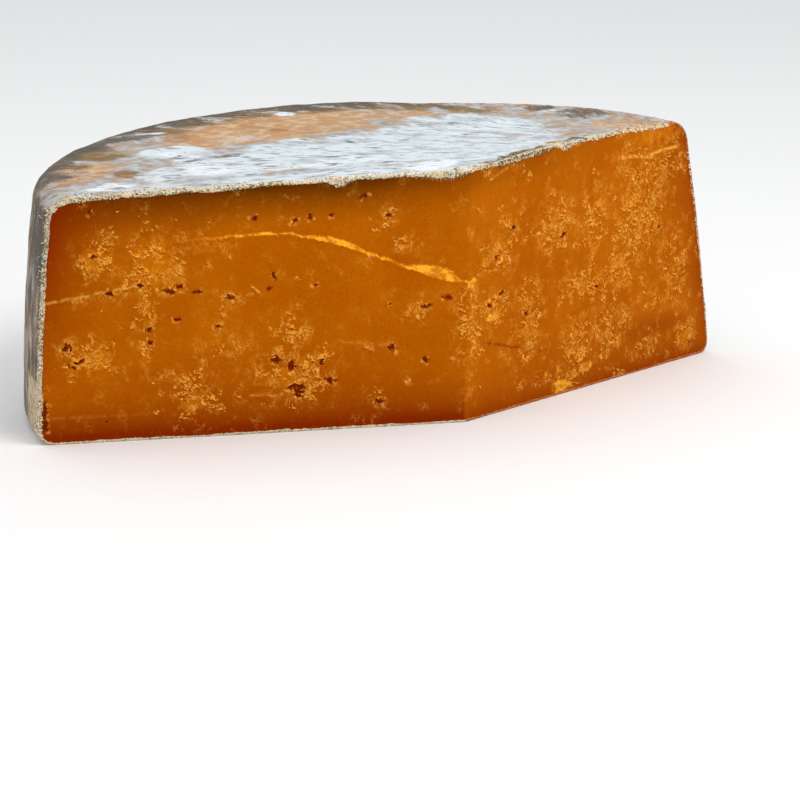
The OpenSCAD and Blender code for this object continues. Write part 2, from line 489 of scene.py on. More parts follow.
# Fine splits: where each starts and ends, how much its upper side stands out, how pale its lip is; below
# zero, painted shade along the split instead.
LEFT_SPLITS = (
    (206, 68, 191, 70.2, 0.6, 0.9), (191, 70.2, 158, 75.5, 0.45, 0.8), (64, 43.5, 37, 41, 0.12, 0.3),
    (206, 13.2, 158, 12.6, 0.1, 0.15), (112, 19.5, 86, 18.6, 0.15, 0.5),
)
RIGHT_SPLITS = (
    (112, 117, 135, 114.5, -0.9, 1.0), (135, 114.5, 162, 117.5, -0.9, 1.0), (12, 38, 44, 29, 0.5, -0.6),
    (44, 29, 60, 25, 0.3, -0.3), (16, 119, 38, 126, 0.3, 0.5),
)
SPLITS = {"left": LEFT_SPLITS, "right": RIGHT_SPLITS}
# Golden torn places: distance from the tip, height, half width, half tallness, strength.
LEFT_TORN = (
    (152, 86, 9, 12, 0.5), (146, 78, 7, 6, 0.5), (179, 88, 8, 6, 0.6), (181, 40, 10, 5, 0.5),
    (92, 27, 10, 4, 0.5), (134, 18, 8, 5, 0.35),
)
RIGHT_TORN = (
    (19, 50, 5, 3, 0.9), (92, 11, 6, 3, 0.9), (73, 4, 8, 4, 1.0), (174, 12, 6, 5, 0.5),
    (145, 127, 22, 7, 0.6), (3, 69, 5, 3, 1.0),
)
TORN = {"left": LEFT_TORN, "right": RIGHT_TORN}
PITS = {"left": LEFT_PITS, "right": RIGHT_PITS}
CRUMBLY = {"left": LEFT_CRUMBLY, "right": RIGHT_CRUMBLY}


def ledge_line(s):
    """Height of the ledge at a distance from the tip."""
    climb = math.sin(math.pi / 2 * min(1.0, max(0.0, s / LEDGE_CLIMB)))
    jag = 0.8 * noise.noise(Vector((s / 7, 0, 3))) + 0.5 * noise.noise(Vector((s / 2.2, 0, 8)))
    fall = 0.05 * max(0.0, s - LEDGE_CLIMB)
    return mix(LEDGE_LOW, LEDGE_HIGH, climb**1.5) + jag - fall


def ledge_step(s):
    """How far the paste over the ledge lies behind the paste under it."""
    return 0.2 + 2.2 * ramp(s, 0, 16) * (1 - ramp(s, 16, LEDGE_END)) + 0.3 * (1 - ramp(s, 60, LEDGE_END))


def ledge_slope(s):
    """How tall the ledge's slope is. Near the tip it opens into a curl."""
    curl = ramp(s, 3, 9) * (1 - ramp(s, 14, 34))
    shelf = ramp(s, 50, 58) * (1 - ramp(s, 66, 80))
    return 0.8 + 4.2 * curl + 1.6 * shelf


def crumbly(cut, s, z):
    """How crumbly a cut face is at a place, from 0 to 1."""
    side = 40 if cut is RIGHT else 0
    cloud = noise.fractal(Vector((s / 9, z / 9, side)), 1.0, 2.0, 3)
    most = 0.0
    for x, y, wide, tall, strength in CRUMBLY[cut.name]:
        away = math.hypot((s - x) / wide, (z - y) / tall)
        if away < 2:
            most = max(most, strength * (1 - ramp(away + 0.9 * cloud, 0.5, 1.7)))
    share, plain = (1.0, 0.66) if cut is RIGHT else (0.84, 0.34)
    return min(1.0, share * most + plain * ramp(cloud, -0.1, 0.6))


def pit_depth(cut, s, z):
    """The pits at a place: how deep as a share, how much the place is a pit's rim, the full depth."""
    most, rim, full = 0.0, 0.0, 0.0
    for x, y, wide, tall, lean in PITS[cut.name]:
        dx, dy = s - x, z - y
        if max(abs(dx), abs(dy)) > PIT_REACH:
            continue
        angle = math.radians(lean)
        across = (dx * math.cos(angle) + dy * math.sin(angle)) / (0.5 * wide)
        up = (dy * math.cos(angle) - dx * math.sin(angle)) / (0.5 * tall)
        jag = 0.8 * noise.noise(Vector((s / 1.6, z / 1.6, x))) + 0.5 * noise.noise(Vector((s, z, y)) * 1.4)
        away = math.hypot(across, up) + jag
        depth = 1 - ramp(away, 0.6, 1.15)
        rim = max(rim, (1 - ramp(away, 1.2, 2.1)) * (1 - depth))
        if depth > most:
            most, full = depth, 0.5 + 0.25 * min(wide, tall)
    return most, rim * (1 - most), full


def split_at(cut, s, z):
    """The splits at a place: how far the paste stands out there, and how pale it is; below zero, painted
    shade in the split.
    """
    out, shade = 0.0, 0.0
    for s0, z0, s1, z1, stand, pale in SPLITS[cut.name]:
        along = (s - s0) / (s1 - s0)
        if not -0.02 < along < 1.02:
            continue
        wobble = 0.7 * noise.noise(Vector((s / 5, z0, 7))) + 0.45 * noise.noise(Vector((s / 1.4, z0, 9)))
        over = z - mix(z0, z1, along) - wobble
        if abs(over) < SPLIT_REACH:
            fade = min(1, 6 * min(along + 0.02, 1.02 - along) + 0.2)
            out += fade * stand * (ramp(over, -0.4, 0.4) - 0.5) * (1 - ramp(abs(over), 1.5, SPLIT_REACH))
            gap = ramp(noise.noise(Vector((s / 2.5, z0, 11))), -0.45, 0.1)
            shade += fade * pale * gap * (1 - ramp(abs(over), 0.2, 0.9))
    return out, shade


def fleck_at(cut, s, z, loose):
    """How much of a torn, standing fleck there is at a place, from 0 to 1."""
    side = 60 if cut is RIGHT else 15
    at = Vector((s, z, side))
    bend = noise.noise_vector(at / 5)
    bent = Vector((s / 4.6 + 0.9 * bend.x, z / 4.6 + 0.9 * bend.y, side))
    string = max(0.0, 1 - 4.5 * abs(noise.fractal(bent, 0.75, 2.2, 4)))
    blob = noise.fractal(at / 2.6, 0.8, 2.0, 3)
    some = noise.noise(at / 6 + Vector((9, 4, 2)))
    return ramp(string + 0.4 * blob, 0.5, 0.9) * ramp(loose + 0.7 * some, 0.42, 0.85)


def torn_at(cut, s, z):
    """How torn and golden the paste is at a place, from 0 to 1."""
    most = 0.0
    for x, y, wide, tall, strength in TORN[cut.name]:
        away = math.hypot((s - x) / wide, (z - y) / tall)
        if away < 2:
            away += 0.6 * noise.fractal(Vector((s / 4, z / 4, x)), 1.0, 2.0, 3)
            most = max(most, strength * (1 - ramp(away, 0.6, 1.2)))
    return most


def relief(cut, s, z):
    """What a cut face does at a place: how far it stands out in millimetres, and what shows there."""
    side = 3 if cut is RIGHT else 0
    slow = math.sin(math.pi * min(1, max(0, s * MM / cut.length)))
    out = 0.7 * slow * noise.noise(Vector((s / 38, z / 38, side)))
    out += 0.16 * noise.noise(Vector((s / 9, z / 7, side)))
    torn, fleck = torn_at(cut, s, z), 0.0
    out += torn * 0.5 * noise.fractal(Vector((s / 5, z / 5, 33)), 1.0, 2.0, 3)
    if cut is LEFT and s < LEDGE_END + 10:
        line, slope, step = ledge_line(s), ledge_slope(s), ledge_step(s)
        over = (z - line) / slope
        fade = 1 - ramp(s, LEDGE_END - 45, LEDGE_END)
        out -= step * ramp(over, 0, 1)
        out += fade * 0.25 * (1 - ramp(abs(z - line + 0.4), 0.3, 1.3))
        if -0.1 < over < 1.15:
            # Painted light: the ledge's upward slope gets the gold tint, for the light from above that falls
            # on it.
            torn = max(torn, fade * (1 - ramp(over, 0.9, 1.15)))
            out += 0.3 * fade * noise.noise(Vector((s / 1.7, z / 1.2, 12)))
            fleck = 0.7 * fade * ramp(noise.noise(Vector((s / 1.6, z / 1.0, 14))), 0.15, 0.4)
    loose = crumbly(cut, s, z)
    fleck = max(fleck, fleck_at(cut, s, z, loose))
    # Painted shadow: just under each fleck the paste is dug in a little and takes some pit colour.
    under = fleck_at(cut, s, z + 1.0, loose) * (1 - fleck)
    lump = noise.fractal(Vector((s / 2.2, z / 2.2, 20)), 1.0, 2.0, 2)
    out += loose * 0.16 * lump + 0.28 * fleck - 0.3 * under
    stand, shade = split_at(cut, s, z)
    out += stand + 0.15 * shade
    depth, rim, full = pit_depth(cut, s, z)
    out -= full * depth - 0.12 * rim
    fleck = max(fleck, shade, rim * ramp(noise.noise(Vector((s / 1.2, z / 1.2, 70))), -0.05, 0.3))
    # Painted shade: pits, the paste just under flecks and dark splits take the pit's deep red-brown.
    pit = max(depth, 0.3 * under, -shade)
    return out, {"pit": pit, "fleck": fleck * (1 - depth), "torn": torn, "crumbly": loose}


# ---------------------------------------------------------------- materials

# The sheen on the paste takes the paste's colour.
WARM_SHEEN = (1.0, 0.5, 0.1, 1)
# Where the hand was that brushed the top, and how far from it the strokes have their true width.
HAND = TIP + Vector((110, -30, 0)) * MM
STROKE_RADIUS = 110 * MM


def add_node(tree, kind, settings=None, **inputs):
    """Adds a node, with settings for the node itself and values or links for its inputs."""
    node = tree.nodes.new(kind)
    for name, value in (settings or {}).items():
        setattr(node, name, value)
    for name, value in inputs.items():
        key = int(name[1:]) if name[0] == "i" and name[1:].isdigit() else name.replace("_", " ")
        socket = node.inputs[key]
        if isinstance(value, bpy.types.NodeSocket):
            tree.links.new(value, socket)
        else:
            socket.default_value = value
    return node


def new_material(name):
    """An empty material, its nodes and the place on the object."""
    material = bpy.data.materials.new(name)
    material.use_nodes = True
    tree = material.node_tree
    tree.nodes.clear()
    return material, tree, add_node(tree, "ShaderNodeTexCoord").outputs["Object"]


def close_material(material, shade, roughness, **inputs):
    """Gives a material its shader and hands it back."""
    tree = material.node_tree
    shader = add_node(tree, "ShaderNodeBsdfPrincipled", Base_Color=shade, Roughness=roughness, **inputs)
    add_node(tree, "ShaderNodeOutputMaterial", Surface=shader.outputs[0])
    return material


def linear(shade):
    """Turns a colour as it looks into a linear one with alpha."""
    return tuple(c / 12.92 if c <= 0.04045 else ((c + 0.055) / 1.055) ** 2.4 for c in shade) + (1.0,)


def blend(tree, amount, first, second):
    """Mixes two colours by an amount. Each is a link, a colour as it looks, or a linear one with alpha."""
    node = tree.nodes.new("ShaderNodeMix")
    node.data_type = "RGBA"
    for number, value in ((0, amount), (6, first), (7, second)):
        if isinstance(value, bpy.types.NodeSocket):
            tree.links.new(value, node.inputs[number])
        else:
            as_it_looks = number > 0 and len(value) == 3
            node.inputs[number].default_value = linear(value) if as_it_looks else value
    return node.outputs[2]


def sums(tree, operation, first, second=0.0):
    """A sum of two values."""
    return add_node(tree, "ShaderNodeMath", {"operation": operation}, i0=first, i1=second).outputs[0]


def times(tree, first, second):
    """Two values multiplied."""
    return sums(tree, "MULTIPLY", first, second)


def plus(tree, first, second):
    """Two values added."""
    return sums(tree, "ADD", first, second)


def spread_to(tree, value, low, high, to_low=0.0, to_high=1.0):
    """Maps a value from one range to another, eased and clamped."""
    settings = {"interpolation_type": "SMOOTHSTEP", "clamp": True}
    node = add_node(tree, "ShaderNodeMapRange", settings, i0=value, i1=low, i2=high, i3=to_low, i4=to_high)
    return node.outputs[0]


def clouds(tree, where, size, detail=3.0, roughness=0.55, distortion=0.0):
    """Cloudy noise with lumps of a size in metres, from 0 to 1."""
    look = {"Detail": detail, "Roughness": roughness, "Distortion": distortion}
    return add_node(tree, "ShaderNodeTexNoise", Vector=where, Scale=1 / size, **look).outputs["Fac"]


def stretched(tree, where, scale):
    """Coordinates squeezed along each axis, so that a pattern lies in streaks."""
    settings = {"vector_type": "TEXTURE"}
    return add_node(tree, "ShaderNodeMapping", settings, Vector=where, Scale=scale).outputs[0]


def painted(tree, name):
    """An attribute that was painted on the mesh."""
    return add_node(tree, "ShaderNodeAttribute", {"attribute_name": name}).outputs["Fac"]


def bumped(tree, height, strength, distance):
    """A surface with fine bumps."""
    return add_node(tree, "ShaderNodeBump", Strength=strength, Distance=distance, Height=height).outputs[0]


def web(tree, where, size, low, high):
    """Thin, broken lines like the torn edges of curd: 1 on a line."""
    field = clouds(tree, stretched(tree, where, (size, size, 1.3 * size)), 1.0, 6.0, 0.62, 0.7)
    off = sums(tree, "ABSOLUTE", sums(tree, "SUBTRACT", field, 0.5))
    return spread_to(tree, off, low, high, 1.0, 0.0)


def paste_material(colours):
    """Deep orange paste, darker near the rind, with gold torn places, pale flecks and red-brown pits. Near
    the rind, side and base the darkening is partly painted shade; the pits' red-brown is painted shade; the
    gold on the left ledge's slope is painted light.
    """
    material, tree, where = new_material("cheddar paste")
    grain = clouds(tree, where, 0.0013, 3.0, 0.7)
    broad = clouds(tree, where, 0.035, 3.0)
    shade = blend(tree, spread_to(tree, broad, 0.35, 0.7, 0.0, 0.22), colours.paste, colours.paste_gold)
    shade = blend(tree, spread_to(tree, grain, 0.5, 0.75, 0.0, 0.3), shade, colours.paste_deep)
    shade = blend(tree, spread_to(tree, grain, 0.5, 0.2, 0.0, 0.2), shade, colours.paste_gold)
    patches = spread_to(tree, clouds(tree, where, 0.007, 3.0, 0.6), 0.44, 0.62)
    loose = times(tree, painted(tree, "crumbly"), patches)
    shade = blend(tree, times(tree, loose, 0.45), shade, colours.paste_gold)
    # Partly painted shade: deep under the rind's lip, ruddy near the side and the base, each with the paste's
    # own darker colour.
    shade = blend(tree, painted(tree, "near_rind"), shade, colours.paste_deep)
    shade = blend(tree, painted(tree, "ruddy"), shade, colours.paste_ruddy)
    torn = painted(tree, "torn")
    # Partly painted light: on the left ledge's slope the gold and waxy tints paint the light from above;
    # elsewhere they are torn paste.
    wax_and_light = times(tree, torn, spread_to(tree, clouds(tree, where, 0.004), 0.3, 0.7, 0.45, 0.95))
    shade = blend(tree, wax_and_light, shade, colours.paste_gold)
    shade = blend(tree, spread_to(tree, wax_and_light, 0.45, 0.9), shade, colours.paste_wax)
    wide, narrow = web(tree, where, 0.009, 0.003, 0.016), web(tree, where, 0.0045, 0.004, 0.022)
    lines = sums(tree, "MAXIMUM", wide, narrow)
    veins = times(tree, times(tree, lines, loose), 0.9)
    dust = times(tree, loose, spread_to(tree, grain, 0.6, 0.74, 0.0, 0.25))
    fleck = times(tree, painted(tree, "fleck"), spread_to(tree, grain, 0.3, 0.6, 0.5, 0.95))
    pale = sums(tree, "MAXIMUM", sums(tree, "MAXIMUM", dust, veins), fleck)
    shade = blend(tree, pale, shade, colours.fleck)
    # Painted shade: the deep red-brown of pits, under flecks and in dark splits.
    shade = blend(tree, painted(tree, "pit"), shade, colours.pit)
    sheen = {"Specular_IOR_Level": spread_to(tree, torn, 0.5, 1.0, 0.01, 0.3), "Specular_Tint": WARM_SHEEN}
    normal = bumped(tree, plus(tree, times(tree, grain, 0.4), veins), 0.5, 0.0004)
    return close_material(material, shade, 0.5, Normal=normal, **sheen)


def crumb_material(colours):
    """Dry crumbs, paler than the paste."""
    material, tree, where = new_material("dry crumbs")
    amount = plus(tree, times(tree, clouds(tree, where, 0.0008), 0.4), painted(tree, "pale"))
    shade = blend(tree, amount, colours.paste_gold, colours.fleck)
    return close_material(material, shade, 0.7, Specular_IOR_Level=0.02, Specular_Tint=WARM_SHEEN)


def crust_material(colours):
    """Grains of the crust: dark, olive, khaki, cream and white."""
    material, tree, where = new_material("crust grains")
    pale, shade = painted(tree, "pale"), colours.dark
    steps = ((0.0, 0.06, "olive"), (0.1, 0.2, "khaki"), (0.3, 0.4, "cream"), (0.7, 0.85, "thick"))
    for low, high, name in steps:
        shade = blend(tree, spread_to(tree, pale, low, high), shade, getattr(colours, name))
    dirt = spread_to(tree, clouds(tree, where, 0.0006), 0.4, 0.8, 0.0, 0.4)
    shade = blend(tree, dirt, shade, colours.khaki)
    return close_material(material, shade, 0.9, Specular_IOR_Level=0.15)


def fanned(tree, where):
    """Coordinates on the top that fan out from the brushing hand: across the strokes and along them."""
    away = add_node(tree, "ShaderNodeVectorMath", {"operation": "SUBTRACT"}, i0=where, i1=HAND).outputs[0]
    x, y, _ = add_node(tree, "ShaderNodeSeparateXYZ", Vector=away).outputs
    across = times(tree, sums(tree, "ARCTAN2", x, y), STROKE_RADIUS)
    flat = add_node(tree, "ShaderNodeCombineXYZ", X=x, Y=y).outputs[0]
    far = add_node(tree, "ShaderNodeVectorMath", {"operation": "LENGTH"}, i0=flat).outputs["Value"]
    return add_node(tree, "ShaderNodeCombineXYZ", X=across, Y=far).outputs[0]


def rind_material(colours):
    """Clothbound rind: brushed white mould over tan, with olive and dark patches and a crusty edge."""
    material, tree, where = new_material("clothbound rind")
    normal = add_node(tree, "ShaderNodeNewGeometry").outputs["Normal"]
    upward = add_node(tree, "ShaderNodeSeparateXYZ", Vector=normal).outputs[2]
    level = spread_to(tree, sums(tree, "ABSOLUTE", upward), 0.55, 0.8)
    steep = sums(tree, "SUBTRACT", 1.0, level)
    fan = fanned(tree, where)

    def strokes(wide, long):
        """Brush strokes: they fan out from the hand on the top, and run up and down on the side."""
        top = clouds(tree, stretched(tree, fan, (wide, long, 1.0)), 1.0, 4.0, 0.62, 0.5)
        side = clouds(tree, stretched(tree, where, (wide, wide, long)), 1.0, 4.0, 0.62, 0.5)
        return plus(tree, times(tree, top, level), times(tree, side, steep))

    broad, fine = strokes(0.007, 0.028), strokes(0.0019, 0.013)
    grit = clouds(tree, where, 0.0011, 3.0, 0.75)
    mottle = clouds(tree, where, 0.007, 4.0, 0.65)
    thin = times(tree, spread_to(tree, mottle, 0.38, 0.62), plus(tree, 0.4, times(tree, level, 0.6)))
    shade = blend(tree, thin, colours.grey, colours.bloom_grey)
    shade = blend(tree, spread_to(tree, broad, 0.46, 0.6, 0.0, 0.65), shade, colours.tan)
    streaks = 0.0
    for pattern, share in ((broad, 1.7), (fine, 1.2), (grit, 0.8)):
        streaks = plus(tree, streaks, times(tree, sums(tree, "SUBTRACT", pattern, 0.5), share))

    def layer(shade, name, tint, amount=1.0, most=1.0):
        """Lays a colour over another where it was painted, with a streaky edge."""
        mask = plus(tree, painted(tree, name), times(tree, streaks, amount))
        return blend(tree, spread_to(tree, mask, 0.25, 0.75, 0.0, most), shade, tint)

    tan = blend(tree, spread_to(tree, mottle, 0.42, 0.66), colours.tan, colours.peach)
    tan = blend(tree, spread_to(tree, broad, 0.48, 0.34), tan, colours.rust)
    shade = layer(shade, "tan", tan)
    olive = blend(tree, spread_to(tree, fine, 0.45, 0.65, 0.0, 0.7), colours.olive, colours.rust)
    shade = layer(shade, "olive", olive, amount=1.3, most=0.9)
    white = blend(tree, spread_to(tree, broad, 0.52, 0.38), colours.bloom, colours.bloom_grey)
    shade = layer(shade, "bloom", white, amount=0.9)
    shade = layer(shade, "thick", colours.thick, amount=1.4, most=0.8)
    thin = times(tree, spread_to(tree, fine, 0.53, 0.62), spread_to(tree, mottle, 0.38, 0.58, 0.25, 0.85))
    on_bloom = spread_to(tree, painted(tree, "bloom"), 0.2, 0.7, 0.3, 1.0)
    shade = blend(tree, times(tree, thin, on_bloom), shade, colours.ash)
    dark = blend(tree, spread_to(tree, fine, 0.5, 0.66, 0.0, 0.6), colours.dark, colours.rust)
    shade = layer(shade, "dark", dark, amount=1.3, most=0.92)
    cream = blend(tree, spread_to(tree, grit, 0.36, 0.56), colours.khaki, colours.cream)
    shade = layer(shade, "cream", cream, amount=0.5)
    bare = blend(tree, spread_to(tree, grit, 0.52, 0.64), colours.paste, colours.peach)
    shade = layer(shade, "bare", bare, amount=0.3)
    spots = spread_to(tree, clouds(tree, where, 0.003, 3.0, 0.7), 0.56, 0.63, 0.0, 0.9)
    shade = blend(tree, times(tree, painted(tree, "cream"), spots), shade, colours.dark)
    gritty = times(tree, spread_to(tree, grit, 0.5, 0.7), plus(tree, 0.15, times(tree, steep, 0.4)))
    shade = blend(tree, gritty, shade, colours.ash)
    bumps = bumped(tree, plus(tree, times(tree, fine, 0.6), times(tree, grit, 0.7)), 0.6, 0.0008)
    return close_material(material, shade, 0.88, Specular_IOR_Level=0.2, Normal=bumps)


def thread_material(colours):
    """Cut cotton threads, khaki to cream."""
    material, tree, where = new_material("cloth threads")
    shade = blend(tree, painted(tree, "pale"), colours.khaki, colours.cream)
    shade = blend(tree, spread_to(tree, clouds(tree, where, 0.004), 0.4, 0.7), shade, colours.cream)
    return close_material(material, shade, 0.9, Specular_IOR_Level=0.2)


def floor_material():
    """A matt pale floor."""
    material, tree, where = new_material("pale floor")
    shade = blend(tree, clouds(tree, where, 0.4), (0.86, 0.86, 0.86, 1), (0.89, 0.89, 0.89, 1))
    return close_material(material, shade, 0.9)


# ---------------------------------------------------------------- features of the rind, in millimetres

# Rows of the rind's mesh behind a cut.
LIP_ROWS = (0.5, 1.1, 2.0, 3.2, 5.0)
# Steps of the lip from the rind's outside to its inner edge: share of its width, and how far it stands proud.
LIP_STEPS = ((0.15, 0.15), (0.4, 0.3), (0.75, 0.25), (0.97, 0.05), (1.0, -0.5), (1.0, -3.0))
# Where the rind hangs down over a cut: distance from the tip, half length, extra width.
LEFT_HANGS = ((190, 12, 0.7), (63.5, 4.5, 3.0), (12, 9, 2.2), (150, 30, 0.3), (125, 8, 0.6), (168, 6, 0.5))
RIGHT_HANGS = ((69, 4, 2.4), (76, 3, 0.8), (20, 10, 1.0), (40, 15, 1.9))

# How many threads make the comb beside the tip.
COMB_TEETH = 26
# How far crumbs stay away from the rind.
CRUMB_MARGIN = 4 * MM
# Shares of the crust's grains: on the left cut, along the top, on the lip.
LEFT_SHARE, TOP_SHARE, LIP_SHARE = 0.65, 0.78, 0.55

# Zones of colour on the top, from the tip: place right and back, half sizes, strength.
TOP_ZONES = {
    "bloom": (
        (5, 68, 82, 50, 1.0), (62, 98, 44, 36, 1.0), (-50, 76, 50, 40, 0.9), (-100, 72, 32, 30, 0.85),
        (-97, 119, 17, 20, 1.0), (-127, 76, 12, 18, 0.7), (-157, 66, 15, 9, 0.9), (-60, 138, 13, 12, 0.3),
        (-4, 186, 6, 8, 1.0), (-91, 177, 15, 5, 1.0), (118, 118, 9, 7, 0.8),
    ),
    "thick": (
        (-99, 115, 12, 12, 0.8), (-104, 75, 13, 11, 1.0), (-8, 22, 15, 10, 1.0), (-157, 66, 12, 6, 0.8),
        (60, 95, 25, 15, 0.4), (-40, 55, 40, 10, 0.45), (-4, 186, 5, 7, 1.0), (-91, 177, 13, 4, 1.0),
    ),
    "tan": (
        (-24, 157, 66, 38, 1.0), (-70, 150, 25, 30, 0.9), (-154, 112, 18, 24, 0.75),
        (-172, 92, 14, 18, 0.7), (63, 56, 6, 5, 0.8), (45, 165, 35, 25, 0.6), (84, 44, 9, 7, 0.8),
        (128, 58, 20, 22, 0.7), (125, 130, 18, 22, 0.5),
    ),
    "olive": (
        (-134, 145, 16, 20, 0.95), (-137, 89, 9, 10, 0.95), (-155, 126, 14, 14, 0.6), (-75, 100, 25, 6, 0.4),
    ),
    "dark": (
        (-104, 174, 24, 9, 0.95), (9, 197, 12, 9, 1.0), (119, 125, 13, 9, 0.8), (128, 96, 14, 22, 0.6),
        (-85, 101, 18, 5, 0.5),
    ),
}


# ---------------------------------------------------------------- making the pieces


def interest(cut, point):
    """How finely a cut face has to be divided at a place: 0, 1 or 2."""
    s, z = cut.place(point)
    depth, rim, _ = pit_depth(cut, s, z)
    if depth > 0.02:
        return 2
    if cut is LEFT and s < LEDGE_END:
        over = z - ledge_line(s)
        if -1.6 < over < ledge_slope(s) + 1:
            return 1
    loose = crumbly(cut, s, z)
    return 1 if loose > 0.35 or torn_at(cut, s, z) > 0.1 or abs(split_at(cut, s, z)[1]) > 0.05 else 0


def divide_fine(bm, cut, faces, rank):
    """Divides each face of a cut that holds something fine."""
    divide(bm, [face for face in faces if interest(cut, face.calc_center_median()) >= rank])


def near_rind(sizes, cut, point):
    """How deep and how ruddy the paste is near the rind, each from 0 to 1: partly its own colour, partly
    painted shade.
    """
    over = max(0, top_height(sizes, point) - point.z) / MM
    side, (s, z) = max(0, side_gap(sizes, point)) / MM, cut.place(point)
    if cut is LEFT:
        # Painted shadow under the rind's lip, with the paste's own darkening near the rind.
        deep = 0.95 * (1 - ramp(over, -2, 25)) * mix(0.5, 1.0, ramp(s, 5, 60))
        # Darker and redder near the side and the base: partly the paste's own colour, partly painted shade.
        end = mix(0.3, 1.0, ramp(z, 35, 100)) * math.exp(-side / 24)
        low = min(0.95, 1.2 * math.exp(-z / 15))
    else:
        # On the right cut too: painted shadow under the lip, and darker, redder paste near the side and the
        # base that is partly painted shade.
        deep = 0.42 * (1 - ramp(over, 0, 18)) * (1 - ramp(s, 30, 110))
        end = 0.6 * math.exp(-side / 12)
        band = 0.45 * math.exp(-(((s - 148) / 30) ** 2) - ((z - 22) / 8) ** 2)
        low = max(0.75 * math.exp(-z / 12), band)
    return {"near_rind": deep, "ruddy": max(end, low)}


def build_paste(sizes):
    """The paste: the wheel inside its rind, cut twice, with torn, crumbly and pitted cut faces."""
    bm = bmesh.new()
    hidden_wheel(bm, sizes, sizes.paste_inset)
    for cut in CUTS:
        cut_off(bm, cut, True)
    bmesh.ops.recalc_face_normals(bm, faces=bm.faces[:])
    for edge in bm.edges:
        edge.smooth = edge.calc_face_angle(0) < SHARP
    for cut in CUTS:
        strips = dice(bm, cut_faces(bm, cut), TIP, cut.along, sizes.cell)
        squares = dice(bm, strips, TIP, UP, sizes.cell)
        divide_fine(bm, cut, squares, 1)
        divide_fine(bm, cut, cut_faces(bm, cut), 2)
    layers = {name: bm.verts.layers.float.new(name) for name in PASTE_LOOKS}
    moves = {}
    for cut in CUTS:
        for vert in dict.fromkeys(v for f in cut_faces(bm, cut) for v in f.verts):
            s, z = cut.place(vert.co)
            out, shown = relief(cut, s, z)
            for name, value in (shown | near_rind(sizes, cut, vert.co)).items():
                vert[layers[name]] = value
            moves.setdefault(vert, []).append(cut.out * out * MM)
    for vert, steps in moves.items():
        vert.co += sum(steps, Vector()) / len(steps)
    return bm


def top_lip(cut, s):
    """Extra width of the rind's lip along the top of a cut, where it hangs down."""
    lumps = LEFT_HANGS if cut is LEFT else RIGHT_HANGS
    return sum(add * math.exp(-(((s - at) / half) ** 2)) for at, half, add in lumps)


def lip_size(cut, normal, point):
    """Width of the rind's lip over a cut, in metres."""
    s, z = cut.place(point)
    width = 1.15 + 0.45 * rough(point, 6 * MM, 2, 3) + 0.5 * noise.noise(point / (1.1 * MM))
    if normal.z > 0.5:
        width += top_lip(cut, s)
    elif cut is LEFT:
        width += 0.9 * (1 - ramp(z, 18, 34)) * ramp(normal.z, -0.7, -0.1)
    return max(1.05, width) * MM


def fold_lip(bm, sizes):
    """Turns the rind's open edge in over the cut faces, and returns the edges of its inner ring."""
    bm.normal_update()
    edges = [edge for edge in bm.edges if edge.is_boundary]
    ring = dict.fromkeys(vert for edge in edges for vert in edge.verts)
    facts = {}
    for vert in ring:
        cuts = [cut for cut in CUTS if on_cut(cut, vert.co, 1e-4)]
        out = sum((cut.out for cut in cuts), Vector()).normalized()
        inward = -(vert.normal - out * vert.normal.dot(out)).normalized()
        facts[vert] = (vert.co.copy(), inward, out, lip_size(cuts[0], vert.normal, vert.co))
    for across, proud in LIP_STEPS:
        made = bmesh.ops.extrude_edge_only(bm, edges=edges)["geom"]
        new_ring = {}
        for vert in (item for item in made if isinstance(item, bmesh.types.BMVert)):
            old = next(e.other_vert(vert) for e in vert.link_edges if e.other_vert(vert) in ring)
            start, inward, out, width = facts[vert] = facts[old]
            new_ring[vert] = None
            lump = 1 + 0.8 * noise.noise(start / (2 * MM) + inward * across)
            stand = proud * MM * (lump if proud > 0 else 1)
            vert.co = start + inward * width * across + out * stand
        edges = [item for item in made if isinstance(item, bmesh.types.BMEdge)]
        edges = [edge for edge in edges if all(vert in new_ring for vert in edge.verts)]
        ring = new_ring
    return edges


def zone(zones, x, y, cloud):
    """How strongly a place lies in any of some round zones, with uneven edges."""
    most = 0.0
    for at_x, at_y, half_x, half_y, strength in zones:
        away = math.hypot((x - at_x) / half_x, (y - at_y) / half_y) + 0.4 * cloud
        most = max(most, strength * (1 - ramp(away, 0.6, 1.3)))
    return most


def crack_at(point):
    """How much of the dark crack behind the right cut there is at a place of the top, from 0 to 1. It is a
    shallow groove; its dark is painted shade.
    """
    s, behind = RIGHT.place(point)[0], RIGHT.behind(point) / MM
    if not 12 < s < 60 or behind > 8:
        return 0.0
    off = abs(behind - 3.6 - 1.2 * noise.noise(Vector((s / 7, 0, 5))))
    broken = ramp(noise.noise(Vector((s / 4, 2, 5))), -0.5, -0.2)
    return (1 - ramp(off, 0.7, 1.7)) * ramp(s, 12, 20) * (1 - ramp(s, 50, 60)) * broken


def right_edge(point, shown, fine):
    """Changes what shows along the right cut's upper edge: olive crust, a peach lump and dark grains."""
    s, behind = RIGHT.place(point)[0], RIGHT.behind(point) / MM + 2 * fine
    crust = (1 - ramp(behind, 4, 8)) * ramp(s, 6, 16) * (1 - ramp(s, 56, 64))
    shown["olive"] = max(shown["olive"], 0.75 * crust)
    grains = (1 - ramp(behind, 6, 13)) * ramp(s, 70, 76) * (1 - ramp(s, 94, 102)) * ramp(fine, -0.25, 0.15)
    # Painted shade: the crack's groove is painted with the dark mould colour.
    shown["dark"] = max(shown["dark"], 0.85 * grains, 1.2 * crack_at(point))
    lump = 1 - ramp(math.hypot((s - 67) / 7, (behind - 2) / 6), 0.7, 1.2)
    shown["tan"] = max(shown["tan"], lump)
    shown["bloom"] *= 1 - max(lump, crust)
    shown["cream"] *= 1 - 0.7 * max(crust, grains)


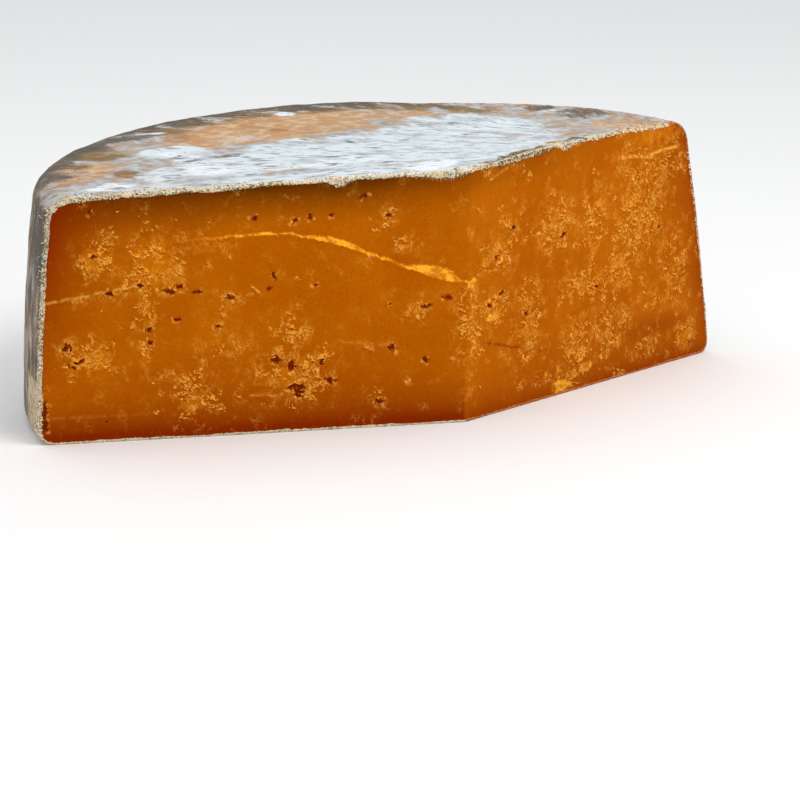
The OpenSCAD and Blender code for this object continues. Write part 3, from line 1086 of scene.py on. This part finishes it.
def rind_shows(sizes, point, normal):
    """What colours the rind shows at a place."""
    x, y = ((point - TIP) / MM).to_2d()
    z = point.z / MM
    cloud = rough(point, 22 * MM, 4, 1)
    fine = rough(point, 6 * MM, 3, 2)
    rim = side_gap(sizes, point) / MM
    behind, name = min((cut.behind(point) / MM, cut.name) for cut in CUTS)
    top, right = normal.z > 0.5, name == "right"
    edge = 1 - ramp(behind + 2.2 * fine, 1.5, 6.5)
    if top:
        shown = {name: zone(zones, x, y, cloud) for name, zones in TOP_ZONES.items()}
        s = (RIGHT if right else LEFT).place(point)[0]
        reach_edge = 1 - ramp(s, 60, 100) if right else 1 - 0.55 * ramp(s, 110, 150)
        shown["bloom"] = max(shown["bloom"], reach_edge * (1 - ramp(behind + 6 * cloud, 14, 36)))
        back = (1 - ramp(x, 30, 120)) * ramp(y, 60, 130)
        wide = 10 * ramp(x, -120, -80) * (1 - ramp(x, 85, 115))
        shown["dark"] = max(shown["dark"], (0.3 + 0.65 * back) * (1 - ramp(rim + 9 * cloud, 8, 32 + wide)))
        shown["olive"] = max(shown["olive"], 0.07 * wide * (1 - ramp(rim + 9 * cloud, 28, 46)))
    else:
        near = 0 if right else 0.25 * (1 - ramp(behind, 20, 60))
        shown = {
            "bloom": 0.25 - near + 0.5 * cloud,
            "thick": 0.0,
            "tan": 0.2 + 0.5 * rough(point, 30 * MM, 3, 4),
            "olive": 0.22 + 1.2 * near + 0.5 * rough(point, 18 * MM, 3, 5),
            "dark": 0.25 + near + 0.5 * rough(point, 25 * MM, 3, 6) + 0.35 * ramp(z, 70, 125),
        }
    low_left = 0 if right or top else (1 - ramp(z, 26, 36)) * (1 - ramp(behind, 20, 32))
    shown["cream"] = max(edge * (1.0 if top else 0.6), 0.6 * low_left)
    shown["tan"] = max(shown["tan"], 0.7 * low_left)
    shown["bare"] = 0.0
    if right:
        s = RIGHT.place(point)[0]
        shown["bare"] = edge * (ramp(s + 8 * cloud, 106, 118) if top else 1.0)
        if top:
            right_edge(point, shown, fine)
    return shown


def rind_relief(point, normal):
    """How far the rind stands out at a place, in metres."""
    out = 0.5 * rough(point, 24 * MM, 3, 7)
    streak = Vector((point.x / 14, point.y / 3, point.z / 14)) / MM
    out += 0.22 * noise.fractal(streak, 1.0, 2.0, 3)
    s, z = LEFT.place(point)
    knobs = (1 - ramp(z, 16, 32)) * (1 - ramp(LEFT.behind(point) / MM, 10, 30)) * ramp(s, 150, 190)
    out += knobs * (0.3 + 0.9 * rough(point, 7 * MM, 2, 8))
    if normal.z > 0.5:
        out -= 1.2 * crack_at(point)
    if normal.z < -0.5:
        out = min(0, -0.1 + 0.2 * out)
    return out * MM


def build_rind(sizes):
    """The rind: a closed shell round the paste, with a lip that is turned in over the cuts."""
    bm = bmesh.new()
    outline = wheel_outline(sizes, 0, sizes.rind_cell, sizes.rind_cell, 2 * sizes.rind_cell)
    spin_wheel(bm, sizes, outline, sizes.rind_cell)
    for cut in CUTS:
        cut_off(bm, cut, False)
    for cut in CUTS:
        for row in LIP_ROWS:
            slice_at(bm, cut, row)
    for depth in (LIP_ROWS[-1], LIP_ROWS[1]):
        divide(bm, [f for f in bm.faces if min(c.behind(f.calc_center_median()) for c in CUTS) < depth * MM])
    bm.normal_update()
    layers = {name: bm.verts.layers.float.new(name) for name in RIND_LOOKS}
    moves = {}
    for vert in bm.verts:
        for name, value in rind_shows(sizes, vert.co, vert.normal).items():
            vert[layers[name]] = min(1, max(0, value))
        normal = vert.normal.copy()
        for cut in CUTS:
            close = 1 - ramp(cut.behind(vert.co) / MM, 0.5, 8)
            normal -= cut.out * normal.dot(cut.out) * close
        moves[vert] = normal.normalized() * rind_relief(vert.co, vert.normal)
    for vert, move in moves.items():
        vert.co += move
    ring = fold_lip(bm, sizes)
    for vert in bm.verts:
        if min(cut.behind(vert.co) for cut in CUTS) < 0.2 * MM:
            vert[layers["cream"]] = max(0.75 - 0.6 * vert[layers["dark"]], vert[layers["cream"]])
    join_inner_wall(bm, sizes, ring)
    return bm


def join_inner_wall(bm, sizes, ring):
    """Closes the rind with its inner wall, which lies hidden in the paste."""
    inner = bmesh.new()
    hidden_wheel(inner, sizes, sizes.rind_thick)
    for cut in CUTS:
        slice_at(inner, cut, WALL_BEHIND, clear=True)
    bmesh.ops.reverse_faces(inner, faces=inner.faces[:])
    wall = bpy.data.meshes.new("inner wall")
    inner.to_mesh(wall)
    inner.free()
    bm.from_mesh(wall)
    bpy.data.meshes.remove(wall)
    edges = [edge for edge in bm.edges if edge.is_boundary]
    bmesh.ops.bridge_loops(bm, edges=edges)
    bmesh.ops.recalc_face_normals(bm, faces=bm.faces[:])


def scatter(make_one, places, unevenness):
    """Copies of one small form, each at its own place, in one mesh. A place is a matrix and a value."""
    one = bmesh.new()
    make_one(one)
    form = bpy.data.meshes.new("form")
    one.to_mesh(form)
    one.free()
    bm = bmesh.new()
    bm.from_mesh(form)
    bpy.data.meshes.remove(form)
    size = len(bm.verts)
    while len(bm.verts) < size * len(places):
        room = size * len(places) - len(bm.verts)
        verts = bm.verts[:room]
        faces = list(dict.fromkeys(face for vert in verts for face in vert.link_faces))
        bmesh.ops.duplicate(bm, geom=with_edges(faces))
    pale = bm.verts.layers.float.new("pale")
    bm.verts.ensure_lookup_table()
    for number, (matrix, value) in enumerate(places):
        for vert in bm.verts[number * size : (number + 1) * size]:
            uneven = noise.noise_vector(vert.co * 3 + Vector((number, 0, 0)))
            vert.co = matrix @ (vert.co + unevenness * uneven)
            vert[pale] = value
    return bm


def crumb_places(sizes):
    """Places of the crumbs: on the flecks of both cuts, flat or a little raised."""
    throw = random.Random(sizes.seed)
    places = []
    for cut in CUTS:
        wanted = len(places) + sizes.crumb_count
        while len(places) < wanted:
            s, z = throw.uniform(1, cut.length / MM), throw.uniform(2, TIP_HEIGHT / MM)
            loose = crumbly(cut, s, z)
            if fleck_at(cut, s, z, loose) < throw.uniform(0.3, 1):
                continue
            point = cut.point(s, z)
            if min(top_height(sizes, point) - point.z, side_gap(sizes, point)) < CRUMB_MARGIN:
                continue
            out, shown = relief(cut, s, z)
            if shown["pit"] > 0.4:
                continue
            size = throw.uniform(0.14, 0.34) * MM
            turn = Matrix.Rotation(throw.gauss(0, 0.8), 4, cut.out)
            tilt = Matrix.Rotation(throw.uniform(-0.7, 0.7), 4, cut.along)
            basis = Matrix((cut.along, cut.out.cross(cut.along), cut.out)).transposed().to_4x4()
            shape = Matrix.Diagonal((size * throw.uniform(1.2, 3.6), size * 0.8, size * 0.5, 1))
            spot = Matrix.Translation(cut.point(s, z, out))
            places.append((spot @ tilt @ turn @ basis @ shape, throw.random()))
    return places


def thread_places(sizes):
    """Places of the cloth's cut threads: a comb beside the tip, and tufts along the top of both cuts."""
    throw = random.Random(sizes.seed + 1)
    places = []
    while len(places) < sizes.thread_count:
        comb = len(places) < COMB_TEETH
        cut = LEFT if comb or throw.random() < 0.8 else RIGHT
        if comb:
            s = 2 + len(places) + throw.uniform(-0.3, 0.3)
        else:
            s = throw.uniform(25, 155 if cut is LEFT else 100)
        point = cut.point(s, 0)
        point.z = top_height(sizes, point)
        tuft = rough(point, 6 * MM, 2, 9)
        if tuft < 0.1 and not comb:
            continue
        long = throw.uniform(1.4, 2.2) if comb else throw.uniform(0.5, 1.1) * (0.6 + tuft)
        thick = throw.uniform(0.13, 0.18) if comb else throw.uniform(0.08, 0.13)
        swing = Matrix.Rotation(throw.gauss(0, 0.25), 4, cut.out)
        lean = Matrix.Rotation(throw.uniform(-0.4, 0.05), 4, cut.along)
        drop = lip_size(cut, UP, point) - 0.3 * MM
        spot = Matrix.Translation(point - UP * drop + cut.out * throw.uniform(0.0, 0.25) * MM)
        shape = Matrix.Diagonal((thick * MM, thick * MM, long * MM, 1))
        places.append((spot @ swing @ lean @ shape, throw.random()))
    return places


def crust_places(sizes):
    """Places of the crust's grains: on the rind's lip and behind it, along the top and the sides."""
    throw = random.Random(sizes.seed + 2)
    places = []
    while len(places) < sizes.crust_count:
        cut = LEFT if throw.random() < LEFT_SHARE else RIGHT
        along_top = throw.random() < TOP_SHARE
        on_lip = throw.random() < LIP_SHARE
        back = 0 if on_lip else throw.expovariate(0.4) * MM
        if along_top:
            outward = UP
            point = cut.point(throw.uniform(0, cut.length / MM), 0, -back / MM)
            point.z = top_height(sizes, point)
            if side_gap(sizes, point) < sizes.rim_round or crack_at(point) > 0.3:
                continue
        else:
            outward = cut.along
            point = cut.point(cut.length / MM, throw.uniform(5, 113), -back / MM)
            for _ in range(3):
                point += cut.along * side_gap(sizes, point)
        s = cut.place(point)[0]
        bare = cut is RIGHT and (not along_top or s > 110)
        if throw.random() < (0.5 if bare else 0.5 - 1.1 * rough(point, 9 * MM, 2, 12)):
            continue
        stand = rind_relief(point, outward)
        down = throw.random()
        if on_lip:
            stand -= lip_size(cut, outward, point) * down
            point += cut.out * 0.3 * MM
        point += outward * stand
        size = throw.uniform(0.2, 0.6 if bare and along_top else 0.5) * MM
        tumble = Matrix.Rotation(throw.uniform(0, math.tau), 4, throw.choice("XYZ"))
        shape = Matrix.Diagonal((size * throw.uniform(0.8, 1.6), size, size * 0.8, 1))
        if cut is LEFT:
            pale = throw.random() + (0.2 if along_top and s < 90 else 0.0) - (0.35 * down if on_lip else 0.0)
        elif bare:
            pale = throw.uniform(0.3, 0.75)
        # Painted shade, like the crack behind: grains halfway down the lip here are given the darkest colour.
        elif on_lip and 14 < s < 60 and 0.2 < down < 0.5:
            pale = 0.0
        else:
            pale = throw.random() - (0.3 if 8 < s < 60 else 0.1)
        places.append((Matrix.Translation(point) @ tumble @ shape, pale))
    return places


def one_thread(bm):
    """A thread that hangs down from its place and tapers."""
    bmesh.ops.create_cone(bm, cap_ends=True, segments=3, radius1=0.35, radius2=1, depth=1)
    bmesh.ops.translate(bm, verts=bm.verts[:], vec=(0, 0, -0.5))


def one_crumb(bm):
    """A round crumb or grain."""
    bmesh.ops.create_icosphere(bm, subdivisions=1, radius=1)


class CHEDDAR_OT_paste(bpy.types.Operator):
    """Makes the paste with its cut faces"""

    bl_idname = "cheddar.paste"
    bl_label = "Paste"

    def execute(self, context):
        scene = context.scene
        bm = build_paste(scene.cheddar_sizes)
        return finish_piece(bm, "paste", paste_material(scene.cheddar_colours))


class CHEDDAR_OT_crumbs(bpy.types.Operator):
    """Makes the dry crumbs on the cut faces"""

    bl_idname = "cheddar.crumbs"
    bl_label = "Crumbs"

    def execute(self, context):
        scene = context.scene
        bm = scatter(one_crumb, crumb_places(scene.cheddar_sizes), 0.3)
        return finish_piece(bm, "crumbs", crumb_material(scene.cheddar_colours), smooth=False)


class CHEDDAR_OT_threads(bpy.types.Operator):
    """Makes the cut threads of the cloth"""

    bl_idname = "cheddar.threads"
    bl_label = "Threads"

    def execute(self, context):
        scene = context.scene
        bm = scatter(one_thread, thread_places(scene.cheddar_sizes), 0.1)
        return finish_piece(bm, "threads", thread_material(scene.cheddar_colours))


class CHEDDAR_OT_crust(bpy.types.Operator):
    """Makes the grains of the crust along the rind's edge"""

    bl_idname = "cheddar.crust"
    bl_label = "Crust"

    def execute(self, context):
        scene = context.scene
        bm = scatter(one_crumb, crust_places(scene.cheddar_sizes), 0.35)
        return finish_piece(bm, "crust", crust_material(scene.cheddar_colours), smooth=False)


class CHEDDAR_OT_rind(bpy.types.Operator):
    """Makes the rind with its lip over the cut faces"""

    bl_idname = "cheddar.rind"
    bl_label = "Rind"

    def execute(self, context):
        scene = context.scene
        bm = build_rind(scene.cheddar_sizes)
        return finish_piece(bm, "rind", rind_material(scene.cheddar_colours))


# What the lights shine at, and half the floor's length.
WEDGE_MIDDLE = Vector((0, 0, 0.06))
FLOOR_HALF = 6


def area_light(name, power, size, direction, distance, tint=(1, 1, 1)):
    """A soft light that shines at the wedge's middle from a direction."""
    light = bpy.data.lights.new(name, "AREA")
    light.energy = power
    light.shape = "DISK"
    light.size = size
    light.color = tint
    lamp = bpy.data.objects.new(name, light)
    lamp.location = Vector(direction).normalized() * distance + WEDGE_MIDDLE
    lamp.rotation_euler = Vector(direction).to_track_quat("Z", "Y").to_euler()
    bpy.context.scene.collection.objects.link(lamp)


class CHEDDAR_OT_stage(bpy.types.Operator):
    """Makes the floor, the light and the camera"""

    bl_idname = "cheddar.stage"
    bl_label = "Stage"

    def execute(self, context):
        scene, stage = context.scene, context.scene.cheddar_stage
        bm = bmesh.new()
        bmesh.ops.create_grid(bm, x_segments=4, y_segments=4, size=FLOOR_HALF)
        floor_mesh = bpy.data.meshes.new("floor")
        bm.to_mesh(floor_mesh)
        bm.free()
        floor_mesh.materials.append(floor_material())
        floor = bpy.data.objects.new("floor", floor_mesh)
        scene.collection.objects.link(floor)

        world = bpy.data.worlds.new("soft sky")
        world.use_nodes = True
        sky = world.node_tree.nodes["Background"]
        sky.inputs["Color"].default_value = (0.97, 0.985, 1.0, 1)
        sky.inputs["Strength"].default_value = stage.sky
        scene.world = world
        area_light("key", stage.key_power, 0.9, (0.35, -0.95, 1.5), 1.6, (1.0, 0.98, 0.95))
        area_light("top", stage.fill_power, 1.2, (-0.2, 0.3, 1.0), 1.4)

        data = bpy.data.cameras.new("camera")
        data.lens = stage.lens
        data.sensor_width = 36
        data.clip_start = 0.05
        camera = bpy.data.objects.new("camera", data)
        turn = (
            Matrix.Rotation(stage.azimuth, 4, "Z")
            @ Matrix.Rotation(math.pi / 2 - stage.elevation, 4, "X")
            @ Matrix.Rotation(stage.roll, 4, "Z")
        )
        aim = TIP + Vector(stage.target)
        camera.matrix_world = Matrix.Translation(aim) @ turn @ Matrix.Translation((0, 0, stage.distance))
        scene.collection.objects.link(camera)
        scene.camera = camera
        scene.view_settings.view_transform = "Standard"
        return {"FINISHED"}


class CHEDDAR_PT_panel(bpy.types.Panel):
    """Lists the pieces of the wedge"""

    bl_idname = "CHEDDAR_PT_panel"
    bl_label = "Cheddar Wedge"
    bl_space_type = "VIEW_3D"
    bl_region_type = "UI"
    bl_category = "Cheese"

    def draw(self, context):
        for step in STEPS:
            self.layout.operator(step.bl_idname)
        for group, kind in GROUPS.items():
            for name in kind.__annotations__:
                self.layout.prop(getattr(context.scene, group), name)


STEPS = (
    CHEDDAR_OT_paste,
    CHEDDAR_OT_crumbs,
    CHEDDAR_OT_rind,
    CHEDDAR_OT_crust,
    CHEDDAR_OT_threads,
    CHEDDAR_OT_stage,
)
GROUPS = {"cheddar_sizes": CheddarSizes, "cheddar_colours": CheddarColours, "cheddar_stage": CheddarStage}


def register():
    for item in (*GROUPS.values(), *STEPS, CHEDDAR_PT_panel):
        bpy.utils.register_class(item)
    for name, group in GROUPS.items():
        setattr(bpy.types.Scene, name, PointerProperty(type=group))


def unregister():
    for name in GROUPS:
        delattr(bpy.types.Scene, name)
    for item in (CHEDDAR_PT_panel, *reversed(STEPS), *GROUPS.values()):
        bpy.utils.unregister_class(item)


def main():
    register()
    bpy.ops.cheddar.paste()
    bpy.ops.cheddar.crumbs()
    bpy.ops.cheddar.rind()
    bpy.ops.cheddar.crust()
    bpy.ops.cheddar.threads()
    bpy.ops.cheddar.stage()


if __name__ == "__main__":
    main()
